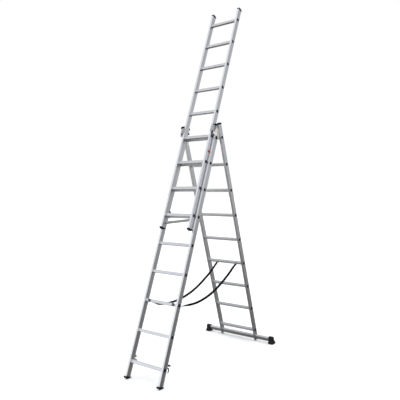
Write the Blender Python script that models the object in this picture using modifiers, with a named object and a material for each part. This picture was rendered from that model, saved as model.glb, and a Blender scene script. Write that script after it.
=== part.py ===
"""Three-section aluminium combination ladder, standing as a braced step ladder with its extension raised.

The front and the rear section are hinged at the top. The extension section slides in front of the front
section and hangs on one of its rungs. Units are metres, +Z is up, +X runs along the rungs, and +Y points
to the back. The origin is on the floor, at the middle of the footprint.

Each section is built in its own frame: x along the rungs, y through the section's depth (to the back),
z up along the stiles. An empty places that frame in the world.
"""

import math

import bmesh
import bpy
from mathutils import Matrix, Vector

# ---------------------------------------------------------------- driving dimensions
SIDES = (("left", -1), ("right", 1))
RUNG_COUNT = 9
PITCH = 0.280               # rung to rung, along the stile
GAP = 0.0003                # air between neighbouring solids
OVERRUN = 0.02              # how much longer a cutter is than what it cuts

STILE_DEPTH = 0.0556
STILE_WIDTH = 0.0204
STILE_WALL = 0.0015
STILE_EDGE = 0.0022         # rounding of the long edges
RUNG_SIZE = 0.028
RUNG_WALL = 0.0014
RUNG_EDGE = 0.004

FRONT_WIDTH = 0.4103        # outside widths of the three sections
REAR_WIDTH = 0.4706
EXTENSION_WIDTH = 0.3557
SECTION_OFFSET = 0.0437     # mid-plane to mid-plane when two sections lie together

FRONT_LEAN = 0.3590         # radians from the vertical, top to the back
REAR_LEAN = 0.3268          # radians from the vertical, top to the front

FRONT_FIRST_RUNG = 0.1561   # floor to the first rung, along the stile
STILE_CUT = 0.0208          # floor to the lower end of the front stile, along the stile
PIVOT_ABOVE_RUNG = 0.0324   # top rung of the front section to the hinge axis
REAR_RUNG_BELOW_PIVOT = 0.0235
REAR_STILE_BELOW_RUNG = 0.1222
TOP_ABOVE_RUNG = 0.132      # top rung to the upper end of the front and rear stiles
EXTENSION_TOP = 0.130
EXTENSION_STILE_BELOW_RUNG = 0.131
RAISED_RUNGS = 5            # the extension is raised this many rungs

CAP_THICKNESS = 0.019
CAP_PROUD = 0.0028
CAP_SKIRT = 0.008           # straight part of the cap, below its arch
FOOT_PROUD = 0.0015         # how far the rubber foot is wider than the stile
FOOT_FRONT = 0.040
FOOT_BACK = 0.036
EXTENSION_FOOT_BACK = 0.0284    # shorter, so that it slides clear of the front section's rungs
SOLE_FRONT = 0.001          # the level sole, from the foot line to the back
SOLE_BACK = 0.033
FOOT_RIM = 0.0065           # height of the foot's rim at its toes

BAR_LENGTH = 0.860          # stabiliser tube
BAR_HEIGHT = 0.046
BAR_DEPTH = 0.025
BAR_EDGE = 0.005
BAR_WALL = 0.002
BAR_ABOVE_END = 0.035       # lower end of the rear stile to the middle of the tube
SHOE_OUTSIDE = 0.444        # middle of the ladder to the outside of a stabiliser shoe
SHOE_WIDTH = 0.047
SHOE_HEIGHT = 0.078
SHOE_FRONT = 0.030          # middle of the tube to the shoe's front and back toes
SHOE_BACK = 0.044
SHOE_FLARE = 0.008         # how far its foot reaches outside its cuff

HOOK_THICKNESS = 0.006
HOOK_TOP = 0.024            # first rung to the upper edge of the hook's arm

BOLT_RADIUS = 0.005
BOLT_HEAD_RADIUS = 0.0085
BOLT_HEAD_HEIGHT = 0.0072
BOLT_STEPS = 16

GUIDE_THICKNESS = 0.003
GUIDE_HEIGHT = 0.060
GUIDE_PLAY = 0.0015         # air in front of the extension's stile
GUIDE_COVER = 0.014         # how far it covers the front of the extension's stile
GUIDE_BELOW_TOP = 0.030
GUIDE_BACK = 0.0078
TAB_LENGTH = 0.046          # riveted tab, of which TAB_OVERLAP lies inside the wrap
TAB_FRONT = -0.070
TAB_WIDTH = 0.066
TAB_OVERLAP = 0.020
TAB_INSET = 0.0001
TAB_CORNER = 0.006

PLATE_HALF = 0.080          # hinge plate, above and below the hinge axis
PLATE_NOSE = 0.024          # radius of its nose round the pivot

LOCK_PIVOT = (-0.144, 0.018, -0.077)
LOCK_TIP = (0.1405, 0.018, -0.038)
LOCK_HEIGHT = 0.025
LOCK_THICKNESS = 0.004
LOCK_CORNER = 0.012

STRAP_WIDTH = 0.025
STRAP_THICKNESS = 0.002

# Side-view route of the straps, from the front section's third rung to the rear section's fourth, as
# (distance behind the foot line, height), chosen for the sag of a slack webbing.
STRAP_ROUTE = [
    (0.2760, 0.6530), (0.3200, 0.6360), (0.3800, 0.6220), (0.4760, 0.6130), (0.6080, 0.6110),
    (0.7580, 0.6320), (0.8950, 0.6700), (1.0360, 0.7300), (1.1860, 0.8110), (1.2700, 0.8690),
    (1.3310, 0.9130),
]
STRAP_ENDS = {"strap_left": (-0.1445, -0.100), "strap_right": (0.1435, 0.1435)}
STRAP_LIFTS = {"strap_left": -0.010, "strap_right": 0.013}     # how far each hangs above that route
STRAP_STEPS = 4             # pieces between two route points

# ---------------------------------------------------------------- derived places
FRONT_PIVOT = FRONT_FIRST_RUNG + (RUNG_COUNT - 1) * PITCH + PIVOT_ABOVE_RUNG
HALF_OFFSET = SECTION_OFFSET / 2
UP_FRONT = Vector((0, math.sin(FRONT_LEAN), math.cos(FRONT_LEAN)))
BACK_FRONT = Vector((0, math.cos(FRONT_LEAN), -math.sin(FRONT_LEAN)))
UP_REAR = Vector((0, -math.sin(REAR_LEAN), math.cos(REAR_LEAN)))
BACK_REAR = Vector((0, math.cos(REAR_LEAN), math.sin(REAR_LEAN)))
PIVOT = UP_FRONT * FRONT_PIVOT + BACK_FRONT * HALF_OFFSET
REAR_FIRST_RUNG = -REAR_RUNG_BELOW_PIVOT - (RUNG_COUNT - 1) * PITCH
REAR_END = REAR_FIRST_RUNG - REAR_STILE_BELOW_RUNG
BAR_CENTRE = PIVOT + BACK_REAR * HALF_OFFSET + UP_REAR * (REAR_END + BAR_ABOVE_END)
FOOTPRINT_FRONT = -FOOT_FRONT
FOOTPRINT_BACK = BAR_CENTRE.y + SHOE_BACK
FOOT_LINE = -(FOOTPRINT_FRONT + FOOTPRINT_BACK) / 2

PAINTS = {
    "aluminium_bright": ((0.78, 0.79, 0.81), 0.34, 1.0),
    "aluminium_rung": ((0.80, 0.81, 0.82), 0.38, 1.0),
    "aluminium_plate": ((0.66, 0.66, 0.67), 0.42, 1.0),
    "steel_dark": ((0.09, 0.09, 0.095), 0.45, 0.8),
    "steel_zinc": ((0.62, 0.62, 0.60), 0.40, 1.0),
    "plastic_black": ((0.022, 0.022, 0.024), 0.55, 0.0),
    "rubber_black": ((0.018, 0.018, 0.019), 0.75, 0.0),
    "webbing_black": ((0.020, 0.020, 0.022), 0.85, 0.0),
}


# ---------------------------------------------------------------- scene helpers
def clear_scene():
    for obj in list(bpy.context.scene.objects):
        bpy.data.objects.remove(obj, do_unlink=True)


def new_collection(name):
    collection = bpy.data.collections.new(name)
    bpy.context.scene.collection.children.link(collection)
    return collection


def paint(name):
    """The finish called name, made once: a Principled BSDF with its colour, roughness and metallic."""
    material = bpy.data.materials.get(name)
    if material:
        return material
    colour, roughness, metallic = PAINTS[name]
    material = bpy.data.materials.new(name)
    material.use_nodes = True
    shader = material.node_tree.nodes["Principled BSDF"]
    shader.inputs["Base Color"].default_value = (*colour, 1.0)
    shader.inputs["Roughness"].default_value = roughness
    shader.inputs["Metallic"].default_value = metallic
    return material


def add_part(name, mesh, parent, finish, location=(0, 0, 0)):
    obj = bpy.data.objects.new(name, mesh)
    PARTS.objects.link(obj)
    obj.parent = parent
    obj.location = location
    mesh.materials.clear()
    mesh.materials.append(paint(finish))
    return obj


def add_cutter(name, mesh, parent, location=(0, 0, 0)):
    obj = bpy.data.objects.new(name, mesh)
    CUTTERS.objects.link(obj)
    obj.parent = parent
    obj.location = location
    obj.hide_render = True
    obj.display_type = "WIRE"
    return obj


def cut(obj, cutter):
    modifier = obj.modifiers.new(f"cut_{cutter.name}", "BOOLEAN")
    modifier.operation = "DIFFERENCE"
    modifier.solver = "EXACT"
    modifier.object = cutter


def empty(name, parent, location, lean=0.0):
    obj = bpy.data.objects.new(name, None)
    PARTS.objects.link(obj)
    obj.parent = parent
    obj.location = location
    obj.rotation_euler = (lean, 0, 0)
    return obj


# ---------------------------------------------------------------- shape helpers
def mesh_from(bm, name):
    mesh = bpy.data.meshes.new(name)
    bmesh.ops.recalc_face_normals(bm, faces=bm.faces)
    if bm.calc_volume(signed=True) < 0:
        bmesh.ops.reverse_faces(bm, faces=bm.faces)
    bm.to_mesh(mesh)
    bm.free()
    return mesh


def add_block(bm, size, centre, edge=0.0, along=None):
    """A box in bm, with the edges that run along one axis (0, 1 or 2) rounded by edge."""
    made = bmesh.ops.create_cube(bm, size=1.0)["verts"]
    bmesh.ops.scale(bm, vec=Vector(size), verts=made)
    bmesh.ops.translate(bm, vec=Vector(centre), verts=made)
    if edge:
        edges = {e for v in made for e in v.link_edges}
        long_edges = [e for e in edges
                      if abs((e.verts[0].co - e.verts[1].co).normalized()[along]) > 0.9]
        bmesh.ops.bevel(bm, geom=long_edges, offset=edge, segments=2, profile=0.5,
                        affect="EDGES", offset_type="OFFSET")


def block(name, size, centre, edge=0.0, along=None):
    bm = bmesh.new()
    add_block(bm, size, centre, edge, along)
    return mesh_from(bm, name)


def flat_plate(name, outline, thickness, turn):
    """A closed outline in the XY plane, thickness deep about z = 0, then placed by the matrix turn."""
    curve = bpy.data.curves.new(name, "CURVE")
    curve.dimensions = "2D"
    curve.fill_mode = "BOTH"
    curve.extrude = thickness / 2
    spline = curve.splines.new("POLY")
    spline.points.add(len(outline) - 1)
    for point, (x, y) in zip(spline.points, outline):
        point.co = (x, y, 0, 1)
    spline.use_cyclic_u = True
    flat = bpy.data.objects.new(f"{name}_outline", curve)
    bpy.context.scene.collection.objects.link(flat)
    bpy.context.view_layer.update()
    evaluated = flat.evaluated_get(bpy.context.evaluated_depsgraph_get())
    mesh = bpy.data.meshes.new_from_object(evaluated)
    bpy.data.objects.remove(flat, do_unlink=True)
    bpy.data.curves.remove(curve)
    bm = bmesh.new()
    bm.from_mesh(mesh)
    bmesh.ops.remove_doubles(bm, verts=bm.verts, dist=0.00001)
    bm.transform(turn)
    bpy.data.meshes.remove(mesh)
    return mesh_from(bm, name)


def side_plate(name, outline, x_low, x_high):
    """A flat outline of (y, z) points as a plate between x_low and x_high."""
    turn = Matrix(((0, 0, 1, (x_low + x_high) / 2), (1, 0, 0, 0), (0, 1, 0, 0), (0, 0, 0, 1)))
    return flat_plate(name, outline, x_high - x_low, turn)


def plan_plate(name, outline, z_low, z_high):
    """A flat outline of (x, y) points, extruded from z_low to z_high."""
    return flat_plate(name, outline, z_high - z_low, Matrix.Translation((0, 0, (z_low + z_high) / 2)))


def arc(centre, radius, start, end, steps):
    """Points on a circle in the (y, z) plane, angles in degrees, both ends included."""
    points = []
    for i in range(steps + 1):
        angle = math.radians(start + (end - start) * i / steps)
        points.append((centre[0] + radius * math.cos(angle), centre[1] + radius * math.sin(angle)))
    return points


def in_front_frame(y, z):
    """A world side-view point, measured from the foot line, in the front section's (y, z)."""
    point = Vector((0, y, z))
    return point.dot(BACK_FRONT), point.dot(UP_FRONT)


# ---------------------------------------------------------------- sub-parts of a section
def rung_heights(first):
    return [first + PITCH * i for i in range(RUNG_COUNT)]


def rung_cutter(prefix, frame, width, first):
    """Nine square bars through both stiles: the holes that the rungs sit in."""
    bm = bmesh.new()
    hole = RUNG_SIZE + 2 * GAP
    for height in rung_heights(first):
        add_block(bm, (width + OVERRUN, hole, hole), (0, 0, height), RUNG_EDGE, 0)
    return add_cutter(f"{prefix}_rung_holes", mesh_from(bm, f"{prefix}_rung_holes"), frame)


def stiles(prefix, frame, width, first, low, high, extra_cutters=()):
    """Two box-section stiles, hollow along their length, pierced for the rungs."""
    holes = rung_cutter(prefix, frame, width, first)
    length = high - low
    centre = (low + high) / 2
    for side, sign in SIDES:
        x = sign * (width - STILE_WIDTH) / 2
        name = f"{prefix}_stile_{side}"
        mesh = block(name, (STILE_WIDTH, STILE_DEPTH, length), (0, 0, centre), STILE_EDGE, 2)
        stile = add_part(name, mesh, frame, "aluminium_bright", (x, 0, 0))
        bore_size = (STILE_WIDTH - 2 * STILE_WALL, STILE_DEPTH - 2 * STILE_WALL, length + OVERRUN)
        bore_mesh = block(f"{name}_bore", bore_size, (0, 0, centre))
        cut(stile, add_cutter(f"{name}_bore", bore_mesh, frame, (x, 0, 0)))
        cut(stile, holes)
        for cutter in extra_cutters:
            cut(stile, cutter)


def rungs(prefix, frame, width, first):
    """Square hollow rungs that run from one stile's outer face to the other's."""
    mesh = block(f"{prefix}_rung", (width, RUNG_SIZE, RUNG_SIZE), (0, 0, 0), RUNG_EDGE, 0)
    inside = RUNG_SIZE - 2 * RUNG_WALL
    for number, height in enumerate(rung_heights(first), 1):
        rung = add_part(f"{prefix}_rung_{number}", mesh, frame, "aluminium_rung", (0, 0, height))
        bore = block(f"{prefix}_rung_bore_{number}", (width + OVERRUN, inside, inside), (0, 0, 0),
                     RUNG_EDGE - RUNG_WALL, 0)
        cut(rung, add_cutter(f"{prefix}_rung_bore_{number}", bore, frame, (0, 0, height)))


def top_caps(prefix, frame, width, top):
    """Arched plastic caps on the upper ends of the stiles."""
    half = STILE_DEPTH / 2 + CAP_PROUD
    low = top + GAP
    rise = CAP_THICKNESS - CAP_SKIRT
    radius = (half * half + rise * rise) / (2 * rise)
    spread = math.degrees(math.asin(half / radius))
    crown = arc((0, low + CAP_THICKNESS - radius), radius, 90 - spread, 90 + spread, 8)
    outline = [(-half, low), (half, low)] + crown
    for side, sign in SIDES:
        x = sign * (width - STILE_WIDTH) / 2
        reach = STILE_WIDTH / 2 + CAP_PROUD
        mesh = side_plate(f"{prefix}_cap_{side}", outline, -reach, reach)
        cap = add_part(f"{prefix}_cap_{side}", mesh, frame, "plastic_black", (x, 0, 0))
        round_edges(cap, 0.0012)


def round_edges(obj, width):
    bevel = obj.modifiers.new("rounded", "BEVEL")
    bevel.width = width
    bevel.segments = 1
    bevel.limit_method = "ANGLE"
    bevel.angle_limit = math.radians(40)


def feet(prefix, frame, width, shift, back_reach):
    """Boat-shaped rubber feet. Their soles are level with the floor when the section stands at its lean."""
    top = STILE_CUT - GAP
    sole = [(SOLE_FRONT, 0.0), (SOLE_BACK, 0.0)]
    back = [(back_reach, top - FOOT_RIM + 0.002), (back_reach, top)]
    front = [(-FOOT_FRONT, top), (-FOOT_FRONT, top - FOOT_RIM), (-0.80 * FOOT_FRONT, 0.0065),
             (-0.50 * FOOT_FRONT, 0.0018), (-0.22 * FOOT_FRONT, 0.0003)]
    outline = [in_front_frame(y, z) for y, z in sole] + back + front
    if back_reach < FOOT_BACK:
        outline[1] = in_front_frame(back_reach - 0.006, 0.0)
    outline = [(y, z + shift) for y, z in outline]
    for side, sign in SIDES:
        x = sign * (width - STILE_WIDTH) / 2
        reach = STILE_WIDTH / 2 + FOOT_PROUD
        mesh = side_plate(f"{prefix}_foot_{side}", outline, -reach, reach)
        add_part(f"{prefix}_foot_{side}", mesh, frame, "rubber_black", (x, 0, 0))


def rung_hooks(prefix, frame, width, first):
    """Steel hooks behind the stiles, which drop over a rung of the section behind."""
    face = STILE_DEPTH / 2 + GAP
    shelf = RUNG_SIZE / 2 + 0.0005
    lip = SECTION_OFFSET + RUNG_SIZE / 2 + 0.0012
    nose = lip + 0.0105
    outline = [(face, shelf), (lip - 0.003, shelf), (lip, shelf - 0.003), (lip + 0.0015, 0.0)]
    outline += [(lip + 0.0012, -0.008), (lip - 0.002, -0.0165), (lip + 0.001, -0.0200)]
    outline += [(lip + 0.006, -0.013), (nose, 0.000), (nose - 0.001, 0.009), (lip + 0.006, 0.018)]
    outline += [(lip + 0.001, HOOK_TOP - 0.001), (lip - 0.005, HOOK_TOP), (face, HOOK_TOP)]
    for side, sign in SIDES:
        x = sign * (width - STILE_WIDTH) / 2
        name = f"{prefix}_hook_{side}"
        mesh = side_plate(name, outline, -HOOK_THICKNESS / 2, HOOK_THICKNESS / 2)
        add_part(name, mesh, frame, "steel_dark", (x, 0, first))


# ---------------------------------------------------------------- the three sections
def front_section(frame):
    first = FRONT_FIRST_RUNG
    top = first + (RUNG_COUNT - 1) * PITCH + TOP_ABOVE_RUNG
    bolts = bolt_hole_cutter("front", frame, FRONT_WIDTH, (HALF_OFFSET, FRONT_PIVOT))
    stiles("front", frame, FRONT_WIDTH, first, STILE_CUT, top, (bolts,))
    rungs("front", frame, FRONT_WIDTH, first)
    top_caps("front", frame, FRONT_WIDTH, top)
    feet("front", frame, FRONT_WIDTH, 0.0, FOOT_BACK)
    rung_hooks("front", frame, FRONT_WIDTH, first)
    guide_brackets(frame, top)


def bolt_hole_cutter(prefix, frame, width, place):
    y, z = place
    name = f"{prefix}_bolt_hole"
    radius = BOLT_RADIUS + GAP
    bm = bmesh.new()
    bmesh.ops.create_cone(bm, cap_ends=True, segments=BOLT_STEPS, radius1=radius, radius2=radius,
                          depth=width + OVERRUN)
    bm.transform(Matrix.Rotation(math.pi / 2, 4, "Y"))
    mesh = bpy.data.meshes.new(name)
    bm.to_mesh(mesh)
    bm.free()
    return add_cutter(name, mesh, frame, (0, y, z))


def guide_brackets(frame, top):
    """Brackets at the front section's top: each is riveted to a stile and wraps the extension's stile."""
    outer = FRONT_WIDTH / 2 + GAP
    outside = outer + GUIDE_THICKNESS
    front = -SECTION_OFFSET - STILE_DEPTH / 2 - GUIDE_PLAY
    inner = EXTENSION_WIDTH / 2 - GUIDE_COVER
    plan = [(outer, GUIDE_BACK), (outer, front), (inner, front), (inner, front - GUIDE_THICKNESS),
            (outside, front - GUIDE_THICKNESS), (outside, GUIDE_BACK)]
    high = top - GUIDE_BELOW_TOP
    low = high - GUIDE_HEIGHT
    tab_size = (GUIDE_THICKNESS - 2 * TAB_INSET, TAB_WIDTH, TAB_LENGTH)
    tab_y = TAB_FRONT + TAB_WIDTH / 2
    for side, sign in SIDES:
        name = f"guide_bracket_{side}"
        outline = [(sign * x, y) for x, y in plan]
        bracket = add_part(name, plan_plate(name, outline, low, high), frame, "aluminium_plate")
        centre = (sign * (outer + outside) / 2, tab_y, low + TAB_OVERLAP - TAB_LENGTH / 2)
        tab = block(f"{name}_tab", tab_size, centre, TAB_CORNER, 0)
        join(bracket, add_cutter(f"{name}_tab", tab, frame))


def join(obj, other):
    modifier = obj.modifiers.new(f"with_{other.name}", "BOOLEAN")
    modifier.operation = "UNION"
    modifier.solver = "EXACT"
    modifier.object = other


def extension_section(frame):
    """The sliding section. Its frame's z counts from the level of its own first rung."""
    top = (RUNG_COUNT - 1) * PITCH + EXTENSION_TOP
    low = -EXTENSION_STILE_BELOW_RUNG
    stiles("extension", frame, EXTENSION_WIDTH, 0.0, low, top)
    rungs("extension", frame, EXTENSION_WIDTH, 0.0)
    top_caps("extension", frame, EXTENSION_WIDTH, top)
    feet("extension", frame, EXTENSION_WIDTH, low - STILE_CUT, EXTENSION_FOOT_BACK)
    rung_hooks("extension", frame, EXTENSION_WIDTH, 0.0)


def lock_bar(frame):
    """The flat bar across the extension's foot, pivoted at its left end, that locks it in place."""
    pivot = empty("lock_bar_pivot", frame, LOCK_PIVOT)
    run = Vector(LOCK_TIP) - Vector(LOCK_PIVOT)
    size = (run.length + LOCK_HEIGHT, LOCK_THICKNESS, LOCK_HEIGHT)
    mesh = block("lock_bar", size, (run.length / 2, 0, 0), LOCK_CORNER, 1)
    bar = add_part("lock_bar", mesh, pivot, "steel_zinc")
    bar.rotation_euler = (0, -math.atan2(run.z, run.x), 0)


def rear_section(frame):
    """The rear section. Its frame's origin is on the hinge axis."""
    first = REAR_FIRST_RUNG
    top = -REAR_RUNG_BELOW_PIVOT + TOP_ABOVE_RUNG
    plane = empty("rear_plane", frame, (0, HALF_OFFSET, 0))
    tube_hole = block("rear_tube_hole", (REAR_WIDTH + OVERRUN, BAR_DEPTH + 2 * GAP, BAR_HEIGHT + 2 * GAP),
                      (0, 0, REAR_END + BAR_ABOVE_END), BAR_EDGE, 0)
    tube_cutter = add_cutter("rear_tube_hole", tube_hole, plane)
    stiles("rear", plane, REAR_WIDTH, first, REAR_END, top, (tube_cutter,))
    rungs("rear", plane, REAR_WIDTH, first)
    top_caps("rear", plane, REAR_WIDTH, top)
    stabiliser(plane)


def shoe_outline():
    """Side view of a stabiliser shoe, round the middle of the tube, with its sole level with the floor."""
    neck_front = -0.023
    neck_back = 0.022
    side_view = [(-SHOE_FRONT, 0.0), (SHOE_BACK, 0.0), (SHOE_BACK, 0.008), (SHOE_BACK - 0.008, 0.024),
                 (neck_back + 0.004, 0.036), (neck_back, SHOE_HEIGHT - 0.010),
                 (neck_back - 0.006, SHOE_HEIGHT), (neck_front + 0.006, SHOE_HEIGHT),
                 (neck_front, SHOE_HEIGHT - 0.006), (neck_front, 0.024), (-SHOE_FRONT, 0.010)]
    points = [Vector((0, y, z - BAR_CENTRE.z)) for y, z in side_view]
    return [(point.dot(BACK_REAR), point.dot(UP_REAR)) for point in points]


def shoe_flare_cutter(name, plane, sign):
    """A wedge that takes the foot's flare off the shoe's cuff. It is an outline in x and z, run along y."""
    low = 0.012 - BAR_CENTRE.z
    high = SHOE_HEIGHT - BAR_CENTRE.z + OVERRUN
    outline = [(SHOE_OUTSIDE, 0.0), (SHOE_OUTSIDE + SHOE_FLARE, low), (SHOE_OUTSIDE + OVERRUN, low),
               (SHOE_OUTSIDE + OVERRUN, high), (SHOE_OUTSIDE, high)]
    turn = Matrix(((1, 0, 0, 0), (0, 0, 1, 0), (0, 1, 0, 0), (0, 0, 0, 1)))
    mesh = flat_plate(name, [(sign * x, z) for x, z in outline], 4 * SHOE_BACK, turn)
    return add_cutter(name, mesh, plane, (0, 0, REAR_END + BAR_ABOVE_END))


def stabiliser(plane):
    """A wide tube through the lower ends of the rear stiles, with a rubber shoe on each end."""
    centre = (0, 0, REAR_END + BAR_ABOVE_END)
    tube_mesh = block("stabiliser_tube", (BAR_LENGTH, BAR_DEPTH, BAR_HEIGHT), (0, 0, 0), BAR_EDGE, 0)
    tube = add_part("stabiliser_tube", tube_mesh, plane, "aluminium_bright", centre)
    bore_size = (BAR_LENGTH + OVERRUN, BAR_DEPTH - 2 * BAR_WALL, BAR_HEIGHT - 2 * BAR_WALL)
    bore = block("stabiliser_bore", bore_size, (0, 0, 0), BAR_EDGE - BAR_WALL, 0)
    cut(tube, add_cutter("stabiliser_bore", bore, plane, centre))
    outline = shoe_outline()
    pocket_end = BAR_LENGTH / 2 + GAP
    pocket_length = pocket_end - (SHOE_OUTSIDE - SHOE_WIDTH) + OVERRUN
    pocket_size = (pocket_length, BAR_DEPTH + 2 * GAP, BAR_HEIGHT + 2 * GAP)
    for side, sign in SIDES:
        name = f"stabiliser_shoe_{side}"
        ends = sorted((sign * (SHOE_OUTSIDE + SHOE_FLARE), sign * (SHOE_OUTSIDE - SHOE_WIDTH)))
        shoe = add_part(name, side_plate(name, outline, *ends), plane, "rubber_black", centre)
        cut(shoe, shoe_flare_cutter(f"{name}_flare", plane, sign))
        round_edges(shoe, 0.0025)
        middle = pocket_end - pocket_length / 2
        pocket = block(f"{name}_pocket", pocket_size, (sign * middle, 0, 0), BAR_EDGE, 0)
        cut(shoe, add_cutter(f"{name}_pocket", pocket, plane, centre))


def hinge_plates(pivot_frame):
    """Plates bolted inside the rear stiles, which carry the pivot bolts of the front section."""
    outer = REAR_WIDTH / 2 - STILE_WIDTH - GAP
    inner = FRONT_WIDTH / 2 + GAP + GUIDE_THICKNESS + 2 * GAP
    back = HALF_OFFSET + STILE_DEPTH / 2 - 0.006
    outline = [(back, PLATE_HALF), (back, -PLATE_HALF + 0.010), (back - 0.010, -PLATE_HALF),
               (back - 0.030, -PLATE_HALF)]
    outline += arc((0.0, -0.002), PLATE_NOSE, 270, 150, 6)
    outline += [(-0.012, PLATE_HALF - 0.020), (0.004, PLATE_HALF)]
    bolt_cutter = bolt_hole_cutter("hinge", pivot_frame, REAR_WIDTH, (0, 0))
    for side, sign in SIDES:
        name = f"hinge_plate_{side}"
        ends = sorted((sign * outer, sign * inner))
        plate = add_part(name, side_plate(name, outline, *ends), pivot_frame, "aluminium_plate")
        cut(plate, bolt_cutter)
        cut(plate, CUTTERS.objects["rear_rung_holes"])


def pivot_bolts(frame):
    """Bolts on the hinge axis: a head inside the front stile, a shank through it into the hinge plate."""
    inner_face = FRONT_WIDTH / 2 - STILE_WIDTH - GAP
    start = inner_face - BOLT_HEAD_HEIGHT
    end = REAR_WIDTH / 2 - STILE_WIDTH - 2 * GAP
    profile = [(0, end), (BOLT_RADIUS, end), (BOLT_RADIUS, inner_face),
               (BOLT_HEAD_RADIUS, inner_face), (BOLT_HEAD_RADIUS, start), (0, start)]
    for side, sign in SIDES:
        name = f"pivot_bolt_{side}"
        mesh = bpy.data.meshes.new(name)
        edges = [(i, i + 1) for i in range(len(profile) - 1)]
        mesh.from_pydata([(radius, 0, height) for radius, height in profile], edges, [])
        bolt = add_part(name, mesh, frame, "steel_dark", (0, HALF_OFFSET, FRONT_PIVOT))
        bolt.rotation_euler = (0, sign * math.pi / 2, 0)
        turn = bolt.modifiers.new("turned", "SCREW")
        turn.steps = BOLT_STEPS
        turn.render_steps = BOLT_STEPS
        turn.use_merge_vertices = True
        turn.merge_threshold = 0.00001


# ---------------------------------------------------------------- straps
def smooth_route(points, steps):
    """Catmull-Rom points through the given ones."""
    padded = [points[0] * 2 - points[1]] + points + [points[-1] * 2 - points[-2]]
    route = []
    for i in range(1, len(padded) - 2):
        before, start, end, after = padded[i - 1:i + 3]
        for k in range(steps):
            t = k / steps
            route.append(0.5 * (2 * start + (end - before) * t
                                + (2 * before - 5 * start + 4 * end - after) * t * t
                                + (3 * start - before - 3 * end + after) * t ** 3))
    route.append(points[-1])
    return route


def strap(name, floor_frame):
    """A flat webbing strap: a ribbon along its route, made solid."""
    start_x, end_x = STRAP_ENDS[name]
    count = len(STRAP_ROUTE) - 1
    points = []
    for i, (y, z) in enumerate(STRAP_ROUTE):
        part = i / count
        lift = STRAP_LIFTS[name] * (1 - (2 * part - 1) ** 4)
        points.append(Vector((start_x + (end_x - start_x) * part, y, z + lift)))
    route = smooth_route(points, STRAP_STEPS)
    half = Vector((STRAP_WIDTH / 2, 0, 0))
    bm = bmesh.new()
    pairs = [(bm.verts.new(p - half), bm.verts.new(p + half)) for p in route]
    for (a, b), (c, d) in zip(pairs, pairs[1:]):
        bm.faces.new((a, b, d, c))
    obj = add_part(name, mesh_from(bm, name), floor_frame, "webbing_black")
    solid = obj.modifiers.new("thickness", "SOLIDIFY")
    solid.thickness = STRAP_THICKNESS
    solid.offset = 0


# ---------------------------------------------------------------- assembly
def build():
    floor_frame = empty("foot_line", None, (0, FOOT_LINE, 0))
    front_frame = empty("front_frame", floor_frame, (0, 0, 0), -FRONT_LEAN)
    front_section(front_frame)
    pivot_bolts(front_frame)
    extension_rung = FRONT_FIRST_RUNG + RAISED_RUNGS * PITCH
    extension_frame = empty("extension_frame", front_frame, (0, -SECTION_OFFSET, extension_rung))
    extension_section(extension_frame)
    lock_bar(extension_frame)
    rear_frame = empty("hinge_axis", floor_frame, PIVOT, REAR_LEAN)
    rear_section(rear_frame)
    hinge_plates(rear_frame)
    for name in STRAP_ENDS:
        strap(name, floor_frame)


clear_scene()
PARTS = new_collection("combination_ladder")
CUTTERS = new_collection("cutters")
build()
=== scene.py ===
"""Looks of the three-section combination ladder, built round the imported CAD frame.

Units are metres, +Z up.
"""

import math

import bmesh
import bpy
from mathutils import Matrix, Vector


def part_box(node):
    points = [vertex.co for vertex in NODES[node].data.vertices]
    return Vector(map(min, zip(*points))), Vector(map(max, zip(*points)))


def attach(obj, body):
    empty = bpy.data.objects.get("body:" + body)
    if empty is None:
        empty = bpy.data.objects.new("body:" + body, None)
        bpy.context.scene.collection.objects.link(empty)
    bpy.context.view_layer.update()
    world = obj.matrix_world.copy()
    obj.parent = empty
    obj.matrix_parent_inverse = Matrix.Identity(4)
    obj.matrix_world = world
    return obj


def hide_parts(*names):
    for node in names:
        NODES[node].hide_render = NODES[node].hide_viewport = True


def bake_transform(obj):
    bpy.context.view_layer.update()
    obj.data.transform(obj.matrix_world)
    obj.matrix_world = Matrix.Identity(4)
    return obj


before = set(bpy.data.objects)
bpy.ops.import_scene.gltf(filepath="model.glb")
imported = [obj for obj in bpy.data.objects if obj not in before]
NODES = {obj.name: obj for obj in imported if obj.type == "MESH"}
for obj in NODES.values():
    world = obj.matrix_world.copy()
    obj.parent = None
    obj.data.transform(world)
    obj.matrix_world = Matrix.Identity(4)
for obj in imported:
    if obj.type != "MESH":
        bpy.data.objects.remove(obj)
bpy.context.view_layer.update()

X_AXIS = Vector((1, 0, 0))

# ---------------------------------------------------------------- sizes of the extrusions
STILE_WIDTH = 0.0204
STILE_DEPTH = 0.0556
RUNG_SIZE = 0.028
RUNG_CORNER = 0.004
RUNG_COUNT = 9
RAISED_RUNGS = 5
SECTIONS = ("front", "rear", "extension")

STRAP_WIDTH = 0.025
STRAP_THICKNESS = 0.0022
SIDES = {"left": -1, "right": 1}

# ---------------------------------------------------------------- camera
CAMERA_PLACE = (2.7055, -3.7520, 1.6633)
CAMERA_TURN = (math.pi / 2 - 0.0099, -0.0044, 0.6217)     # level, apart from a small tilt and roll
CAMERA_LENS = 40.52         # mm
CAMERA_SENSOR = 36.0        # mm


def add_camera():
    data = bpy.data.cameras.new("camera")
    data.sensor_width = CAMERA_SENSOR
    data.lens = CAMERA_LENS
    camera = bpy.data.objects.new("camera", data)
    camera.location = CAMERA_PLACE
    camera.rotation_euler = CAMERA_TURN
    bpy.context.scene.collection.objects.link(camera)
    bpy.context.scene.camera = camera


# ---------------------------------------------------------------- section frames
def centre(node):
    low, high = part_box(node)
    return (Vector(low) + Vector(high)) / 2


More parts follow.
